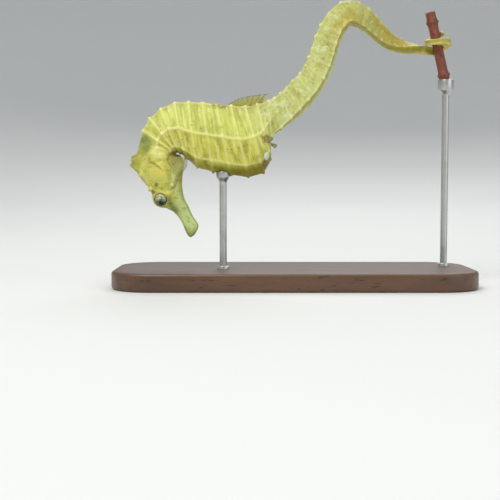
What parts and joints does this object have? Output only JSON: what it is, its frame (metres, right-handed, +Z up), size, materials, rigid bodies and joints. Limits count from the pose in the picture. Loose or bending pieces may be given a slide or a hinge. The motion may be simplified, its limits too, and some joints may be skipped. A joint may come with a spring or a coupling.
{
  "type": "seahorse",
  "caption": "Yellow seahorse with its head bent down and its tail wrapped round a cut plant stem, held on a plain display stand.",
  "frame": {"origin": "centre of the underside of the stand's base, on the surface that it stands on", "axes": "+X from the head towards the tail's end, +Y towards the animal's right side, +Z up"},
  "size_m": [0.12, 0.048, 0.0937],
  "materials": {
    "skin": "moist satin skin over bony rings, lemon to olive yellow with pale ridges and brown flecks",
    "eye": "wet gloss, dark pupil in a silver and olive iris",
    "fin": "thin rayed membrane, see-through towards its edge",
    "stem": "reddish brown plastic plant stem, cut square",
    "base": "dark stained wood, satin varnish",
    "rod": "fine brushed round rod"
  },
  "bodies": {
    "root": {"snout": "skin", "head": "skin", "coronet": "skin", "eye_left": "eye", "eye_right": "eye", "neck": "skin", "trunk_front": "skin", "trunk_rear": "skin", "tail_1": "skin", "tail_2": "skin", "tail_3": "skin", "tail_4": "skin", "tail_5": "skin", "tail_6": "skin", "tail_7": "skin", "dorsal_fin": "fin", "anal_fin": "fin", "pectoral_fin_left": "fin", "pectoral_fin_right": "fin", "perch_stem": "stem", "stand_base": "base", "stand_rod_body": "rod", "stand_rod_perch": "rod"}
  },
  "joints": []
}
